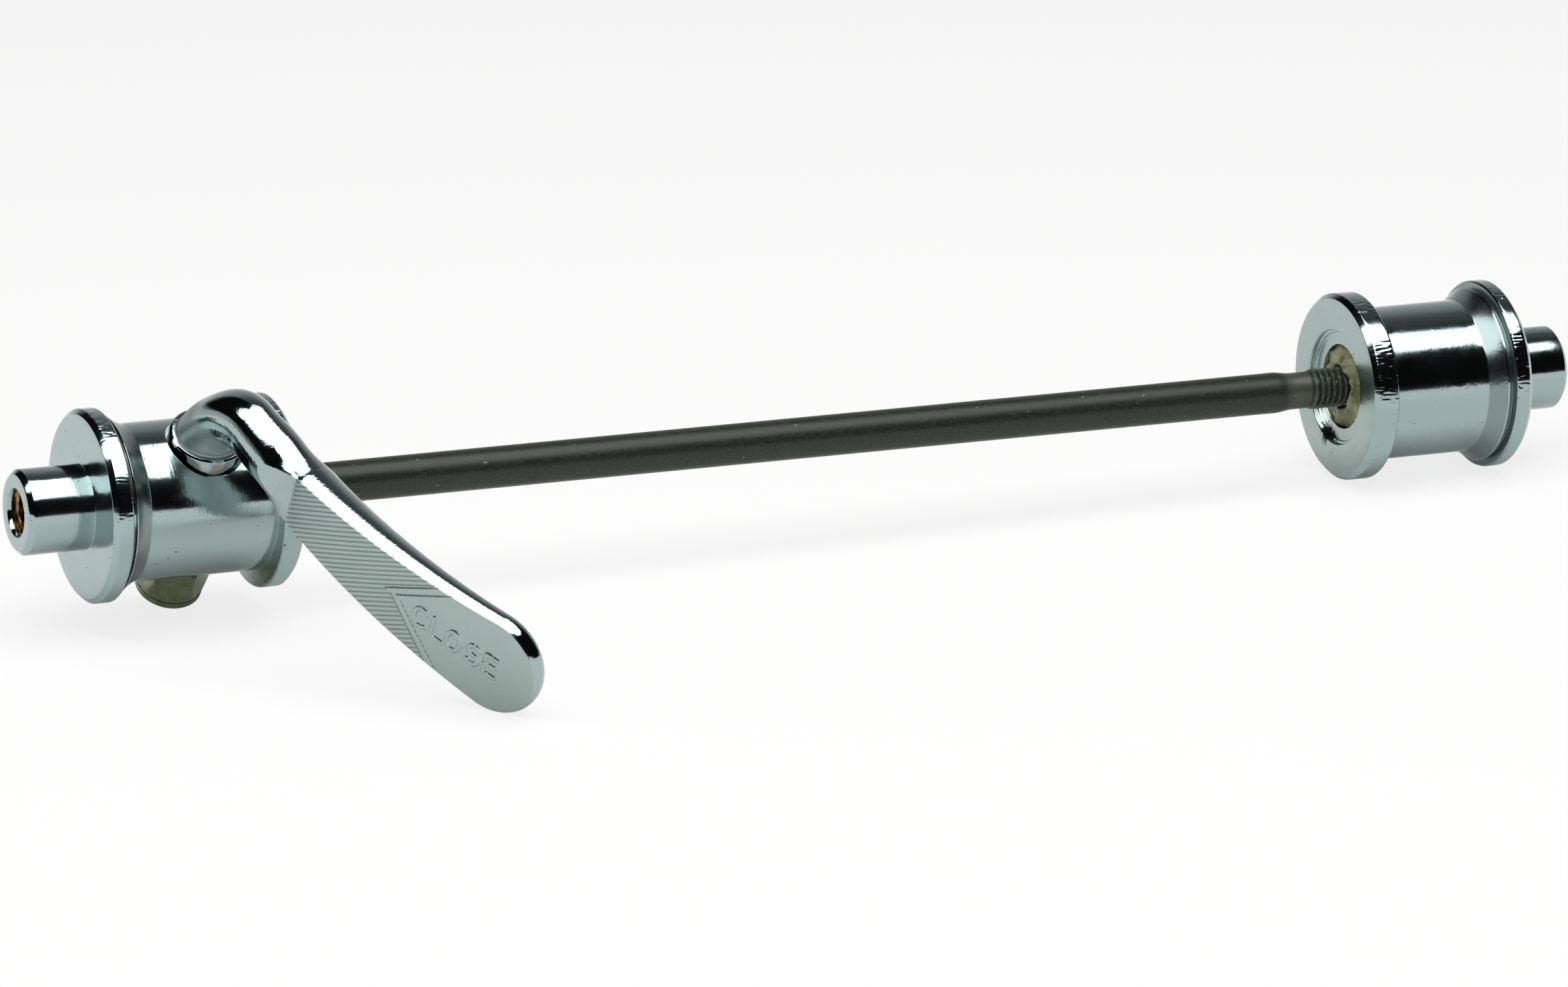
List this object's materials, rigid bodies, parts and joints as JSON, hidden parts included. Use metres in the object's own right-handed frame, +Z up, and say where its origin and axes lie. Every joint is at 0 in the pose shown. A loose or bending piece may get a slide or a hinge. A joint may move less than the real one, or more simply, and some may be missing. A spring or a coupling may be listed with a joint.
{
  "type": "quick release skewer",
  "caption": "Bicycle wheel skewer: a thin rod between two flanged spool ends, with a cam lever at one end and an adjusting nut at the other.",
  "frame": {"origin": "on the rod's axis, at the cam housing's clamp face", "axes": "+X along the rod from the lever end to the adjusting nut, +Z up as the skewer lies at rest on its cap nut, lever tip and far spool, +Y away from the lever"},
  "size_m": [0.2029, 0.0665, 0.0311],
  "materials": {
    "plated_steel": "bright plated, turned",
    "plated_lever": "bright plated, forged",
    "dull_steel": "dull plated",
    "dark_steel": "blackened",
    "nylon": "worn, yellowed"
  },
  "bodies": {
    "housing": {"cam_housing": "plated_steel"},
    "lever": {"release_lever": "plated_lever", "cam_washer": "dull_steel", "cam_cap_nut": "dull_steel"},
    "rod": {"skewer_rod": "dark_steel"},
    "nut": {"adjusting_nut": "plated_steel", "lock_insert": "nylon"}
  },
  "joints": [
    {"name": "lever_pivot", "type": "hinge", "parent": "housing", "child": "lever", "pos_m": [-0.0101, 0, 0], "axis": [0, 0.5106, -0.8598], "range_deg": [0, 180]},
    {"name": "rod_slide", "type": "slide", "parent": "housing", "child": "rod", "axis": [1, 0, 0], "range_m": [0, 0.002]},
    {"name": "nut_turn", "type": "hinge", "parent": "rod", "child": "nut", "pos_m": [0.1408, 0, 0], "axis": [1, 0, 0], "continuous": true}
  ],
  "couplings": [
    {"joint": "rod_slide", "follows": "lever_pivot", "m_per_rad": 0.00063661}
  ]
}
